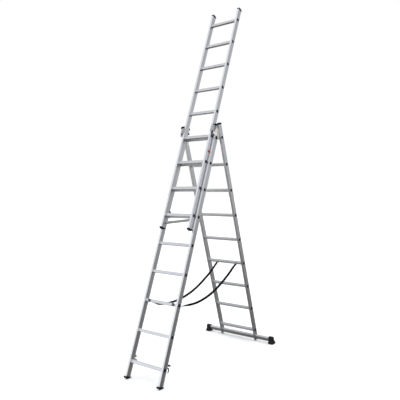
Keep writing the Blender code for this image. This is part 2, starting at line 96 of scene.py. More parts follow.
class Section:
    """One ladder section: x along the rungs, y to the back, z up the stiles from the first rung.

    outer and inner are half the distance between the stiles' outer and inner faces.
    """

    def __init__(self, name):
        self.name = name
        self.body = f"{name}_section"
        first = centre(f"{name}_rung_1")
        last = centre(f"{name}_rung_{RUNG_COUNT}")
        up = (last - first).normalized()
        self.pitch = (last - first).length / (RUNG_COUNT - 1)
        low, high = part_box(f"{name}_rung_1")
        self.width = high[0] - low[0]
        axes = Matrix((X_AXIS, up.cross(X_AXIS), up)).transposed()
        self.matrix = Matrix.Translation(first) @ axes.to_4x4()
        stile = NODES[f"{name}_stile_right"].data
        heights = [(vertex.co - first).dot(up) for vertex in stile.vertices]
        self.low = min(heights)
        self.high = max(heights)
        self.stile_x = (self.width - STILE_WIDTH) / 2
        self.outer = self.width / 2
        self.inner = self.width / 2 - STILE_WIDTH

    def rungs(self):
        return [self.pitch * i for i in range(RUNG_COUNT)]


SECTION = {name: Section(name) for name in SECTIONS}


# ---------------------------------------------------------------- mesh helpers
def new_object(name, bm, material, smooth=35):
    """A mesh object whose edges are smooth below this angle, in degrees."""
    mesh = bpy.data.meshes.new(name)
    bmesh.ops.recalc_face_normals(bm, faces=bm.faces)
    bm.to_mesh(mesh)
    bm.free()
    mesh.shade_smooth()
    mesh.set_sharp_from_angle(angle=math.radians(smooth))
    mesh.materials.append(material)
    obj = bpy.data.objects.new(name, mesh)
    bpy.context.scene.collection.objects.link(obj)
    return obj


def settle(obj, section, slot, *replaced):
    """Puts a piece made in a section's frame into the world and makes it ride on that section."""
    obj.matrix_world = section.matrix @ obj.matrix_world
    bpy.context.view_layer.update()
    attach(obj, section.body)
    if replaced:
        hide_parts(*replaced)
    return obj


# Takes (a, b, along) to x, y and z, for each axis to extrude along.
AXIS_TURNS = {
    "x": Matrix(((0, 0, 1), (1, 0, 0), (0, 1, 0))),
    "y": Matrix(((1, 0, 0), (0, 0, 1), (0, 1, 0))),
    "z": Matrix.Identity(3),
}


def join_rings(bm, rings):
    """Joins each closed ring of vertices to the next and caps the first and the last."""
    for first, second in zip(rings, rings[1:]):
        for i in range(len(first)):
            j = (i + 1) % len(first)
            bm.faces.new((first[i], first[j], second[j], second[i]))
    bm.faces.new(rings[0])
    bm.faces.new(rings[-1])


def prism(bm, outline, low, high, axis="z"):
    """A closed outline extruded from low to high along an axis."""
    turn = AXIS_TURNS[axis]
    join_rings(bm, [[bm.verts.new(turn @ Vector((a, b, level))) for a, b in outline]
                    for level in (low, high)])


def loft(bm, rings, place):
    """Closed rings of (y, z) points at given x, joined and capped."""
    join_rings(bm, [[bm.verts.new(place @ Vector((x, y, z))) for y, z in ring]
                    for ring, x in rings])


def arc(centre_point, radius, start, end, steps):
    points = []
    for i in range(steps + 1):
        angle = math.radians(start + (end - start) * i / steps)
        points.append((centre_point[0] + radius * math.cos(angle),
                       centre_point[1] + radius * math.sin(angle)))
    return points


def rounded_rectangle(width, height, radius, steps=4):
    half_w = width / 2 - radius
    half_h = height / 2 - radius
    points = []
    corners = ((half_w, half_h), (-half_w, half_h), (-half_w, -half_h), (half_w, -half_h))
    for quarter, corner in enumerate(corners):
        points += arc(corner, radius, 90 * quarter, 90 * quarter + 90, steps)
    return points


# ---------------------------------------------------------------- materials
def node_material(name):
    material = bpy.data.materials.new(name)
    material.use_nodes = True
    tree = material.node_tree
    return material, tree, tree.nodes["Principled BSDF"]


def add_node(tree, kind, **settings):
    node = tree.nodes.new(kind)
    for key, value in settings.items():
        setattr(node, key, value)
    return node


def noise(tree, vector, scale, detail=3.0, roughness=0.55):
    node = add_node(tree, "ShaderNodeTexNoise")
    node.inputs["Scale"].default_value = scale
    node.inputs["Detail"].default_value = detail
    node.inputs["Roughness"].default_value = roughness
    tree.links.new(vector, node.inputs["Vector"])
    return node.outputs["Fac"]


def stretched(tree, scale):
    """Object coordinates scaled by (x, y, z)."""
    coordinates = add_node(tree, "ShaderNodeTexCoord")
    mapping = add_node(tree, "ShaderNodeMapping")
    mapping.inputs["Scale"].default_value = scale
    tree.links.new(coordinates.outputs["Object"], mapping.inputs["Vector"])
    return mapping.outputs["Vector"]


def ramp(tree, value, low, high, low_colour, high_colour):
    node = add_node(tree, "ShaderNodeValToRGB")
    node.color_ramp.elements[0].position = low
    node.color_ramp.elements[1].position = high
    node.color_ramp.elements[0].color = (*low_colour, 1)
    node.color_ramp.elements[1].color = (*high_colour, 1)
    tree.links.new(value, node.inputs["Fac"])
    return node.outputs["Color"]


def spread(tree, value, low, high):
    node = add_node(tree, "ShaderNodeMapRange")
    node.inputs["To Min"].default_value = low
    node.inputs["To Max"].default_value = high
    tree.links.new(value, node.inputs["Value"])
    return node.outputs["Result"]


def bump(tree, value, distance, strength):
    node = add_node(tree, "ShaderNodeBump")
    node.inputs["Distance"].default_value = distance
    node.inputs["Strength"].default_value = strength
    tree.links.new(value, node.inputs["Height"])
    return node.outputs["Normal"]


def aluminium(name, tone, grain, roughness=(0.30, 0.44)):
    """Mill-finished metal. grain is the scale of the drawing lines along x, y and z."""
    material, tree, shader = node_material(name)
    lines = noise(tree, stretched(tree, grain), 1.0, 4.0, 0.6)
    clouds = noise(tree, stretched(tree, (1, 1, 1)), 7.0, 3.0)
    dark = tuple(c * 0.90 for c in tone)
    light = tuple(min(1.0, c * 1.06) for c in tone)
    drawn = ramp(tree, lines, 0.35, 0.65, dark, light)
    cloudy = ramp(tree, clouds, 0.30, 0.75, tuple(c * 0.94 for c in tone), light)
    blend = add_node(tree, "ShaderNodeMix", data_type="RGBA")
    blend.inputs["Factor"].default_value = 0.45
    tree.links.new(drawn, blend.inputs["A"])
    tree.links.new(cloudy, blend.inputs["B"])
    tree.links.new(blend.outputs["Result"], shader.inputs["Base Color"])
    tree.links.new(spread(tree, lines, *roughness), shader.inputs["Roughness"])
    shader.inputs["Metallic"].default_value = 1.0
    tree.links.new(bump(tree, lines, 0.0002, 0.25), shader.inputs["Normal"])
    return material


def moulded(name, tone, roughness, grain_scale, grain_depth, metallic=0.0):
    """Moulded plastic, rubber or a coated steel: fine grain and a little tone variation."""
    material, tree, shader = node_material(name)
    coordinates = stretched(tree, (1, 1, 1))
    grain = noise(tree, coordinates, grain_scale, 2.0)
    clouds = noise(tree, coordinates, 30.0, 3.0)
    dark = tuple(c * 0.82 for c in tone)
    light = tuple(min(1.0, c * 1.2) for c in tone)
    tones = ramp(tree, clouds, 0.3, 0.7, dark, light)
    tree.links.new(tones, shader.inputs["Base Color"])
    tree.links.new(spread(tree, clouds, *roughness), shader.inputs["Roughness"])
    shader.inputs["Specular IOR Level"].default_value = 0.25
    shader.inputs["Metallic"].default_value = metallic
    tree.links.new(bump(tree, grain, grain_depth, 0.5), shader.inputs["Normal"])
    return material


def webbing(name):
    """Black woven webbing: a fine twill along the strap, with slightly lighter yarn crowns."""
    material, tree, shader = node_material(name)
    wave = add_node(tree, "ShaderNodeTexWave", wave_type="BANDS", bands_direction="DIAGONAL")
    wave.inputs["Scale"].default_value = 260.0
    wave.inputs["Distortion"].default_value = 0.6
    tree.links.new(stretched(tree, (1, 1, 1)), wave.inputs["Vector"])
    tones = ramp(tree, wave.outputs["Fac"], 0.2, 0.9, (0.002, 0.002, 0.0025), (0.011, 0.011, 0.012))
    tree.links.new(tones, shader.inputs["Base Color"])
    shader.inputs["Roughness"].default_value = 0.8
    shader.inputs["Specular IOR Level"].default_value = 0.15
    tree.links.new(bump(tree, wave.outputs["Fac"], 0.0004, 0.6), shader.inputs["Normal"])
    return material


ALUMINIUM_TONE = (0.862, 0.868, 0.884)
MATERIAL = {
    "stile": aluminium("stile_aluminium", ALUMINIUM_TONE, (520, 520, 2.0)),
    "rung": aluminium("rung_aluminium", (0.80, 0.805, 0.82), (2.5, 520, 520)),
    "zinc": aluminium("zinc_strip", (0.36, 0.352, 0.34), (30, 30, 30), (0.38, 0.55)),
    "steel": moulded("coated_steel", (0.020, 0.020, 0.022), (0.35, 0.5), 900.0, 0.0001),
    "plastic": moulded("black_plastic", (0.012, 0.012, 0.013), (0.42, 0.58), 1400.0, 0.0001),
    "rubber": moulded("black_rubber", (0.010, 0.010, 0.011), (0.62, 0.78), 700.0, 0.0002),
    "bright": aluminium("rivet_aluminium", (0.80, 0.80, 0.81), (90, 90, 90), (0.30, 0.45)),
    "guide": moulded("guide_grey", (0.42, 0.42, 0.43), (0.36, 0.48), 900.0, 0.0001, 0.85),
    "pale_plate": moulded("plate_pale", (0.80, 0.77, 0.74), (0.42, 0.56), 600.0, 0.0001, 0.25),
    # painted shade: a near-black tone standing for the shadow in the slot between the extension and the
    # front section
    "shade_strip": moulded("painted_shade_strip", (0.055, 0.055, 0.060), (0.45, 0.60), 900.0, 0.0001),
    "red": moulded("red_stud", (0.90, 0.015, 0.04), (0.22, 0.34), 900.0, 0.00005),
    "webbing": webbing("black_webbing"),
}


# ---------------------------------------------------------------- stiles
STILE_CORNER = 0.0024
RECESS_DEPTH = 0.0007            # recess down each broad face
RECESS_SLOPE = 0.0006
FLANGE = 0.0085                  # from the stile's front or back to the recess
GROOVE_PLACE = 0.0035            # V grooves, either side of the middle of each narrow face
GROOVE_HALF = 0.0007
GROOVE_DEPTH = 0.0005
STILE_END_GAP = 0.0002


def stile_outline():
    """A box with rounded corners, a recess down each broad face and two grooves down each narrow one."""
    half_x = STILE_WIDTH / 2
    half_y = STILE_DEPTH / 2
    corner = STILE_CORNER
    recess_x = half_x - RECESS_DEPTH
    flange_y = half_y - FLANGE
    recess_y = flange_y - RECESS_SLOPE
    points = arc((half_x - corner, -half_y + corner), corner, -90, 0, 4)
    points += [(half_x, -flange_y), (recess_x, -recess_y), (recess_x, recess_y), (half_x, flange_y)]
    points += arc((half_x - corner, half_y - corner), corner, 0, 90, 4)
    points += groove(GROOVE_PLACE, half_y, -1) + groove(-GROOVE_PLACE, half_y, -1)
    points += arc((-half_x + corner, half_y - corner), corner, 90, 180, 4)
    points += [(-half_x, flange_y), (-recess_x, recess_y), (-recess_x, -recess_y), (-half_x, -flange_y)]
    points += arc((-half_x + corner, -half_y + corner), corner, 180, 270, 4)
    points += groove(-GROOVE_PLACE, -half_y, 1) + groove(GROOVE_PLACE, -half_y, 1)
    return points


def groove(x, y, inward):
    """A fine V groove in a narrow face, listed in the direction that the outline runs."""
    reach = GROOVE_HALF * inward
    return [(x - reach, y), (x, y + GROOVE_DEPTH * inward), (x + reach, y)]


def add_stiles(section):
    outline = stile_outline()
    for side, sign in SIDES.items():
        bm = bmesh.new()
        shape = [(sign * x, y) for x, y in outline]
        prism(bm, shape, section.low + STILE_END_GAP, section.high - STILE_END_GAP)
        stile = new_object(f"{section.name}_stile_{side}_profile", bm, MATERIAL["stile"], smooth=25)
        stile.location = (sign * section.stile_x, 0, 0)
        bpy.context.view_layer.update()
        settle(stile, section, "stile_aluminium", f"{section.name}_stile_{side}")


# ---------------------------------------------------------------- rungs
TREAD = (0.0012, 5, 0.18)        # groove depth, ribs, and groove's part of a rib, on top and bottom
RISER = (0.0016, 2, 0.28)        # the same, on the front and the back
RUNG_INSET = 0.0015              # the rung's ends lie inside the stiles' outer faces
# Rings of the bead at a rung's end: wider than the rung, more rounded than it, and how far inward.
COLLAR = ((0.0042, 0.0018, 0.0), (0.0042, 0.0018, 0.0018), (0.0010, 0.0004, 0.0036))
COLLAR_SUNK = 0.0007
# Rings of the plug: size, and how far outside the stile's outer face.
PLUG = ((0.0285, -0.0012), (0.0285, 0.0006), (0.0270, 0.0013), (0.0180, 0.0015), (0.0165, 0.0009))
PLUG_ROUNDING = 0.2              # part of the plug's size


def rung_outline():
    """A square with rounded corners, ribbed on its treads and finely grooved on its front and back."""
    points = []
    for quarter, face in enumerate((TREAD, RISER, TREAD, RISER)):
        turn = Matrix.Rotation(quarter * math.pi / 2, 2)
        points += [tuple(turn @ Vector(p)) for p in ribbed_side(*face)]
    return points


def ribbed_side(depth, ribs, groove_part):
    """The top side from its right corner to its left, as (y, z)."""
    half = RUNG_SIZE / 2
    points = arc((half - RUNG_CORNER, half - RUNG_CORNER), RUNG_CORNER, 0, 90, 4)
    span = 2 * (half - RUNG_CORNER)
    step = span / ribs
    for i in range(ribs):
        start = half - RUNG_CORNER - step * i
        middle = start - step / 2
        wide = step * groove_part
        points += [(middle + wide, half), (middle + wide / 2, half - depth),
                   (middle - wide / 2, half - depth), (middle - wide, half)]
    return points


def add_rungs(section):
    outline = rung_outline()
    reach = section.outer - RUNG_INSET
    for number, height in enumerate(section.rungs(), 1):
        bm = bmesh.new()
        prism(bm, outline, -reach, reach, "x")
        rung = new_object(f"{section.name}_rung_{number}_profile", bm, MATERIAL["rung"], smooth=25)
        rung.location = (0, 0, height)
        bpy.context.view_layer.update()
        settle(rung, section, "rung_aluminium", f"{section.name}_rung_{number}")


def add_rung_collars(section):
    """The swaged beads that lock each rung to the stiles' inner faces."""
    bm = bmesh.new()
    start = section.inner + COLLAR_SUNK
    for height in section.rungs():
        place = Matrix.Translation((0, 0, height))
        for sign in (-1, 1):
            rings = []
            for wider, rounder, inward in COLLAR:
                size = RUNG_SIZE + wider
                ring = rounded_rectangle(size, size, RUNG_CORNER + rounder)
                rings.append((ring, sign * (start - inward)))
            loft(bm, rings, place)
    collars = new_object(f"{section.name}_rung_collars", bm, MATERIAL["rung"], smooth=50)
    settle(collars, section, "rung_aluminium")


def add_rung_plugs(section):
    """Black square plugs in the rung ends, slightly domed, on the stiles' outer faces."""
    bm = bmesh.new()
    for height in section.rungs():
        place = Matrix.Translation((0, 0, height))
        for sign in (-1, 1):
            rings = []
            for size, out in PLUG:
                ring = rounded_rectangle(size, size, size * PLUG_ROUNDING)
                rings.append((ring, sign * (section.outer + out)))
            loft(bm, rings, place)
    plugs = new_object(f"{section.name}_rung_plugs", bm, MATERIAL["plastic"], smooth=40)
    settle(plugs, section, "plastic_black")


# ---------------------------------------------------------------- straps
# Side-view route, as (y, z) in the ladder's frame, the same as the CAD solids' route.
STRAP_ROUTE = [
    (-0.5505, 0.6530), (-0.5065, 0.6360), (-0.4465, 0.6220), (-0.3505, 0.6130), (-0.2185, 0.6110),
    (-0.0685, 0.6320), (0.0685, 0.6700), (0.2095, 0.7300), (0.3595, 0.8110), (0.4435, 0.8690),
    (0.5045, 0.9130),
]
STRAP_ENDS = {"left": (-0.1445, -0.100), "right": (0.1435, 0.1435)}
STRAP_LIFTS = {"left": -0.010, "right": 0.013}
STRAP_RUNGS = {"front": 3, "rear": 4}
# How far each webbing is twisted, in degrees, at these parts of its length.
STRAP_TWISTS = {
    "left": ((0.0, 0), (0.20, 38), (0.45, 34), (0.75, 24), (1.0, 6)),
    "right": ((0.0, 0), (0.19, 0), (0.33, 40), (0.50, 34), (0.75, 24), (1.0, 6)),
}
SEWN = 0.05                  # part of the length that lies double at each end
SEWN_THICKNESS = 2.1         # times the single webbing's
ROUTE_STEPS = 8              # points between two of the route's own
TAIL_STEPS = 4
UNTWISTED = ((0.0, 0), (1.0, 0))
# The webbing's cross-section, in parts of its width and of its thickness.
WEBBING_SECTION = [(-0.5, -0.25), (-0.38, -0.5), (0.38, -0.5), (0.5, -0.25),
                   (0.5, 0.25), (0.38, 0.5), (-0.38, 0.5), (-0.5, 0.25)]


def smooth_route(points, steps):
    """Catmull-Rom points through the given ones."""
    padded = [points[0] * 2 - points[1]] + points + [points[-1] * 2 - points[-2]]
    route = []
    for i in range(1, len(padded) - 2):
        before, start, end, after = padded[i - 1:i + 3]
        for k in range(steps):
            t = k / steps
            route.append(0.5 * (2 * start + (end - before) * t
                                + (2 * before - 5 * start + 4 * end - after) * t * t
                                + (3 * start - before - 3 * end + after) * t ** 3))
    route.append(points[-1])
    return route


def strap_route(side):
    start_x, end_x = STRAP_ENDS[side]
    count = len(STRAP_ROUTE) - 1
    points = []
    for i, (y, z) in enumerate(STRAP_ROUTE):
        part = i / count
        lift = STRAP_LIFTS[side] * (1 - (2 * part - 1) ** 4)
        points.append(Vector((start_x + (end_x - start_x) * part, y, z + lift)))
    return smooth_route(points, ROUTE_STEPS)


def eased(stops, part):
    """The value at a part of the length, eased between (part, value) stops."""
    for (low, first), (high, second) in zip(stops, stops[1:]):
        if part <= high:
            t = (part - low) / (high - low)
            return first + (second - first) * t * t * (3 - 2 * t)
    return stops[-1][1]


def ribbon(bm, route, twists=UNTWISTED, sewn=0.0):
    """A flat band along a route, thinner at its selvedges. Untwisted, its width runs along x."""
    rings = []
    count = len(route)
    for i, point in enumerate(route):
        part = i / (count - 1)
        along = (route[min(i + 1, count - 1)] - route[max(i - 1, 0)]).normalized()
        turn = Matrix.Rotation(math.radians(eased(twists, part)), 3, along)
        normal = turn @ along.cross(X_AXIS).normalized()
        across = along.cross(normal).normalized()
        is_double = part < sewn or part > 1 - sewn
        deep = STRAP_THICKNESS * (SEWN_THICKNESS if is_double else 1.0)
        rings.append([bm.verts.new(point + across * (u * STRAP_WIDTH) + normal * (v * deep))
                      for u, v in WEBBING_SECTION])
    join_rings(bm, rings)


def add_strap(side):
    route = strap_route(side)
    bm = bmesh.new()
    ribbon(bm, route, STRAP_TWISTS[side], SEWN)
    strap = new_object(f"strap_{side}_webbing", bm, MATERIAL["webbing"], smooth=60)
    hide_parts(f"strap_{side}")
    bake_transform(strap)
    add_strap_tail(side, "front", route[0])
    add_strap_tail(side, "rear", route[-1])


# Each webbing's folded end as (towards the other section, up) from its rung's centre: it lies on
# the back of the front section's rung, and under the rear section's.
STRAP_TAILS = {
    "front": ((0.0195, -0.0090), (0.0160, -0.0030), (0.0157, 0.0040), (0.0157, 0.0110)),
    "rear": ((0.0180, -0.0122), (0.0110, -0.0155), (0.0030, -0.0157), (-0.0110, -0.0157)),
}


def add_strap_tail(side, section_name, end):
    """The webbing's end, folded flat on a rung."""
    section = SECTION[section_name]
    tip = section.matrix.inverted() @ end
    height = section.pitch * (STRAP_RUNGS[section_name] - 1)
    towards = 1 if tip.y > 0 else -1
    tail_route = STRAP_TAILS[section_name]
    points = [tip] + [Vector((tip.x, towards * y, height + z)) for y, z in tail_route]
    bm = bmesh.new()
    ribbon(bm, smooth_route(points, TAIL_STEPS))
    tail = new_object(f"strap_{side}_{section_name}_tail", bm, MATERIAL["webbing"], smooth=60)
    settle(tail, section, "webbing_black")


FIXING_X = 0.1435
FIXING_SUNK = 0.0004             # the washer's back lies this far inside the rung's front
STRAP_WASHER = ((0.0136, 0.0), (0.0136, 0.0036), (0.0118, 0.0056), (0.0050, 0.0056),
                (0.0042, 0.0040))
STRAP_RIVET = ((0.0040, 0.0041), (0.0040, 0.0056), (0.0030, 0.0066), (0.0010, 0.0070))


def add_strap_fixings():
    """A dark cup washer and a bright rivet hold each strap's end on the front section's rung."""
    section = SECTION["front"]
    washers = bmesh.new()
    rivets = bmesh.new()
    face = -RUNG_SIZE / 2 + FIXING_SUNK
    height = section.pitch * (STRAP_RUNGS["front"] - 1)
    for sign in SIDES.values():
        place = facing_front(sign * FIXING_X, face, height)
        turned(washers, STRAP_WASHER, place)
        turned(rivets, STRAP_RIVET, place)
    settle(new_object("strap_washers", washers, MATERIAL["plastic"], smooth=30), section,
           "plastic_black")
    settle(new_object("strap_rivets", rivets, MATERIAL["bright"], smooth=30), section, "steel_zinc")


# ---------------------------------------------------------------- fittings
NUT_SIDES = 6


def turned(bm, profile, place, sides=24):
    """A profile of (radius, height) turned round the place's z axis: with six sides, a nut."""
    rings = []
    for radius, height in profile:
        ring = []
        for i in range(sides):
            angle = 2 * math.pi * i / sides
            point = Vector((radius * math.cos(angle), radius * math.sin(angle), height))
            ring.append(bm.verts.new(place @ point))
        rings.append(ring)
    join_rings(bm, rings)


def facing_side(x, y, z, sign):
    """A place on a side face whose z axis points along +x or -x."""
    return Matrix.Translation((x, y, z)) @ Matrix.Rotation(sign * math.pi / 2, 4, "Y")


def facing_front(x, y, z):
    return Matrix.Translation((x, y, z)) @ Matrix.Rotation(math.pi / 2, 4, "X")


def facing_back(x, y, z):
    return Matrix.Translation((x, y, z)) @ Matrix.Rotation(-math.pi / 2, 4, "X")


RIVET = ((0.0042, -0.0003), (0.0042, 0.0006), (0.0034, 0.0016), (0.0016, 0.0021))


def local_box(section, node):
    """A CAD node's box in a section's frame."""
    turn = section.matrix.inverted()
    points = [turn @ vertex.co for vertex in NODES[node].data.vertices]
    low = Vector([min(p[i] for p in points) for i in range(3)])
    high = Vector([max(p[i] for p in points) for i in range(3)])
    return low, high


WRAP_HEIGHT = 0.060
WRAP_DEPTH = 0.030           # how far back the wrap's side reaches from its front
PLATE = 0.003
LIP_BEVEL = 0.001            # at the free edge of the wrap's front
BEAD_HALF = 0.0014           # three raised beads cross the wrap's front
BEAD_FROM_END = 0.004
BEAD_OUTER_INSET = 0.004
BEAD_INNER_INSET = 0.002
BEAD_PROUD = 0.0007
BEAD_SUNK = 0.0005
TAB_FRONT = -0.070           # behind the mid-plane, so a negative one is in front of it
TAB_BACK = -0.004
TAB_CORNER = 0.006
TAB_GAP = 0.0004             # between the riveted plate and the wrap
TAB_TOP_GAP = 0.0005
TAB_OUTER_GAP = 0.0002
# Black edge that stands on the guide's top and runs back, as (behind its front, above its top).
TRIM_OUTLINE = ((-0.001, -0.003), (-0.001, 0.018), (0.006, 0.021), (0.044, 0.030), (0.045, 0.014),
                (0.014, 0.004), (0.012, -0.003))
TRIM_INSIDE = 0.0050         # of the guide's outer face
TRIM_OUTSIDE = 0.0012
GUIDE_RIVET_SUNK = 0.0012
# The guide's rivets as (behind the mid-plane, below the guide's top), and one above its lower end.
UPPER_GUIDE_RIVETS = ((-0.014, 0.018), (-0.014, 0.044))
LOWER_GUIDE_RIVET = (-0.020, 0.011)


def wrap_plan(low, high):
    """The wrap from above: round the outer front corner of the extension's stile, as (x, y)."""
    back = low.y + WRAP_DEPTH
    plan = [(high.x - PLATE, back), (high.x - PLATE, low.y + PLATE), (low.x, low.y + PLATE),
            (low.x, low.y + LIP_BEVEL), (low.x + LIP_BEVEL, low.y)]
    return plan + arc((high.x - PLATE, low.y + PLATE), PLATE, -90, 0, 4) + [(high.x, back)]


def tab_side(low, high):
    """The riveted plate from the side, as (y, z): behind the wrap, with a tab below it."""
    start = low.y + WRAP_DEPTH + TAB_GAP
    top = high.z - TAB_TOP_GAP
    step = high.z - WRAP_HEIGHT
    side = [(start, top), (high.y - TAB_CORNER, top)]
    side += arc((high.y - TAB_CORNER, top - TAB_CORNER), TAB_CORNER, 90, 0, 4)
    side += [(high.y, step + TAB_CORNER), (high.y - TAB_CORNER, step),
             (TAB_BACK, step - TAB_CORNER)]
    side += arc((TAB_BACK - TAB_CORNER, low.z + TAB_CORNER), TAB_CORNER, 0, -90, 4)
    side += arc((TAB_FRONT + TAB_CORNER, low.z + TAB_CORNER), TAB_CORNER, -90, -180, 4)
    return side + [(TAB_FRONT, step - TAB_GAP), (start, step - TAB_GAP)]


def add_guides():
    """A grey wrap round each stile of the extension, and a lighter riveted plate behind and below it."""
    section = SECTION["front"]
    low, high = local_box(section, "guide_bracket_right")
    wrap_low = high.z - WRAP_HEIGHT
    plan = wrap_plan(low, high)
    side = tab_side(low, high)
    bead_xs = (high.x - BEAD_OUTER_INSET, low.x + BEAD_INNER_INSET)
    bead_ys = (low.y - BEAD_PROUD, low.y + BEAD_SUNK)
    bead_plan = [(bead_xs[0], bead_ys[0]), (bead_xs[1], bead_ys[0]),
                 (bead_xs[1], bead_ys[1]), (bead_xs[0], bead_ys[1])]
    bead_levels = (wrap_low + BEAD_FROM_END, (wrap_low + high.z) / 2, high.z - BEAD_FROM_END)
    trim_side = [(low.y + y, high.z + z) for y, z in TRIM_OUTLINE]
    rivet_places = [(y, high.z - below) for y, below in UPPER_GUIDE_RIVETS]
    rivet_places.append((LOWER_GUIDE_RIVET[0], low.z + LOWER_GUIDE_RIVET[1]))
    for name, sign in SIDES.items():
        wrap = bmesh.new()
        prism(wrap, [(sign * x, y) for x, y in plan], wrap_low, high.z)
        for level in bead_levels:
            prism(wrap, [(sign * x, y) for x, y in bead_plan], level - BEAD_HALF, level + BEAD_HALF)
        settle(new_object(f"guide_wrap_{name}", wrap, MATERIAL["guide"], smooth=40), section,
               "plate_aluminium", f"guide_bracket_{name}")
        plate = bmesh.new()
        ends = sorted((sign * (high.x - PLATE), sign * (high.x - TAB_OUTER_GAP)))
        prism(plate, side, *ends, "x")
        settle(new_object(f"guide_plate_{name}", plate, MATERIAL["pale_plate"], smooth=40), section,
               "plate_aluminium", f"guide_bracket_{name}")
        trim = bmesh.new()
        ends = sorted((sign * (high.x - TRIM_INSIDE), sign * (high.x + TRIM_OUTSIDE)))
        prism(trim, trim_side, *ends, "x")
        settle(new_object(f"guide_trim_{name}", trim, MATERIAL["plastic"], smooth=30), section,
               "plastic_black")
        rivets = bmesh.new()
        for y, z in rivet_places:
            turned(rivets, RIVET, facing_side(sign * (high.x - GUIDE_RIVET_SUNK), y, z, sign))
        settle(new_object(f"guide_rivets_{name}", rivets, MATERIAL["bright"], smooth=30), section,
               "steel_zinc")


BRACKET_BOLT = (0.023, 0.085)    # behind the front section's mid-plane, above its top rung
PEG_HEIGHT = 0.0445              # above the first rung
PEG_END = 0.0590                 # behind the mid-plane
PEG_SUNK = 0.0008
PEG_OUTWARD = {"front": 0.008, "extension": 0.0}     # from the middle of the stile
BRACKET_WASHER = ((0.0095, -0.0004), (0.0095, 0.0016), (0.0070, 0.0016))
BRACKET_NUT = ((0.0082, 0.0016), (0.0086, 0.0026), (0.0086, 0.0086), (0.0076, 0.0098))
BRACKET_BOLT_END = ((0.0040, 0.0090), (0.0040, 0.0125), (0.0032, 0.0135))
BRACKET_BOLT_HEAD = ((0.0062, -0.0010), (0.0062, 0.0004), (0.0030, 0.0014))


def add_bracket_bolts():
    """A bolt through each front stile above the hinge, with its washer and nut on the inside."""
    section = SECTION["front"]
    bm = bmesh.new()
    depth, height = BRACKET_BOLT
    level = section.pitch * (RUNG_COUNT - 1) + height
    for sign in SIDES.values():
        inside = facing_side(sign * section.inner, depth, level, -sign)
        turned(bm, BRACKET_WASHER, inside)
        turned(bm, BRACKET_NUT, inside, NUT_SIDES)
        turned(bm, BRACKET_BOLT_END, inside)
        turned(bm, BRACKET_BOLT_HEAD, facing_side(sign * section.outer, depth, level, sign))
    settle(new_object("bracket_bolts", bm, MATERIAL["steel"], smooth=30), section, "steel_dark")


def add_pegs(section, outward):
    """A black peg with a thicker tip behind each stile, over the hook's mouth."""
    bm = bmesh.new()
    start = STILE_DEPTH / 2 - PEG_SUNK
    reach = PEG_END - start
    profile = ((0.0096, 0.0), (0.0096, 0.0022), (0.0070, 0.0030), (0.0070, reach * 0.55),
               (0.0086, reach * 0.62), (0.0088, reach - 0.0020), (0.0066, reach))
    for sign in SIDES.values():
        turned(bm, profile, facing_back(sign * (section.stile_x + outward), start, PEG_HEIGHT))
    pegs = new_object(f"{section.name}_hook_pegs", bm, MATERIAL["plastic"])
    settle(pegs, section, "plastic_black")


STUD = (0.006, 0.116)            # behind the extension's mid-plane, above its rung
STUD_RUNG = 3
STUD_SUNK = 0.0008
STUD_COLLAR = ((0.0128, 0.0), (0.0128, 0.0022), (0.0115, 0.0034), (0.0098, 0.0034),
               (0.0096, 0.0018))
STUD_BUTTON = ((0.0094, 0.0012), (0.0094, 0.0040), (0.0086, 0.0052), (0.0064, 0.0061),
               (0.0030, 0.0065))


def add_stud():
    """The red stud in its dark collar on the extension's right stile."""
    section = SECTION["extension"]
    depth, height = STUD
    level = section.pitch * (STUD_RUNG - 1) + height
    place = facing_side(section.outer - STUD_SUNK, depth, level, 1)
    collar = bmesh.new()
    turned(collar, STUD_COLLAR, place)
    settle(new_object("stud_collar", collar, MATERIAL["plastic"]), section, "plastic_black")
    button = bmesh.new()
    turned(button, STUD_BUTTON, place)
    settle(new_object("stud_red", button, MATERIAL["red"]), section, "stud_red")


# Painted shade: a near-black strip standing for the shadow in the slot between the extension and the
# front section.
SHADE_STRIP_WIDTH = 0.007
SHADE_STRIP_PROUD = 0.0012
SHADE_STRIP_SUNK = 0.0004
SHADE_STRIP_BEVEL = 0.0008
SHADE_STRIP_ABOVE_END = 0.012
SHADE_STRIP_PAST_TOP_RUNG = 0.09       # of the front section


def add_painted_shade_strips():
    """A thin dark strip of painted shade along each outer back edge of the extension, beside the front
    section.
    """
    section = SECTION["extension"]
    bm = bmesh.new()
    back = STILE_DEPTH / 2 - SHADE_STRIP_SUNK
    root = section.outer - SHADE_STRIP_SUNK
    face = section.outer + SHADE_STRIP_PROUD
    overlap_end = section.pitch * (RUNG_COUNT - 1 - RAISED_RUNGS) + SHADE_STRIP_PAST_TOP_RUNG
    for sign in SIDES.values():
        shape = [(sign * root, back - SHADE_STRIP_WIDTH), (sign * face, back - SHADE_STRIP_WIDTH + SHADE_STRIP_BEVEL),
                 (sign * face, back - SHADE_STRIP_BEVEL), (sign * root, back)]
        prism(bm, shape, section.low + SHADE_STRIP_ABOVE_END, overlap_end)
    settle(new_object("extension_shade_strips", bm, MATERIAL["shade_strip"], smooth=30), section, "plastic_black")


LOCK_PIVOT = (-0.144, 0.018, -0.077)     # the same as the CAD bar's, in the extension's frame
LOCK_TIP_HEIGHT = -0.038                 # above the extension's first rung
LOCK_HALF = 0.002                        # half the bar's thickness
LOCK_GAP = 0.0004                        # from the bar to its ear and its rest
SCREW_SUNK = 0.0002
SCREW_WASHER = ((0.0086, 0.0), (0.0086, 0.0014), (0.0070, 0.0014))
SCREW_HEAD = ((0.0066, 0.0014), (0.0066, 0.0050), (0.0056, 0.0060))
EAR_SUNK = 0.0003
EAR_HALF = 0.014                         # half the ear's height at the stile
EAR_RADIUS = 0.012
EAR_THICKNESS = 0.0025
REST_THICKNESS = 0.0045
# The rest's outline as (towards the other stile, above the bar's tip), from the stile's inner face.
REST_OUTLINE = ((-0.0003, -0.020), (-0.0003, 0.016), (0.013, 0.010), (0.016, 0.0), (0.013, -0.014))


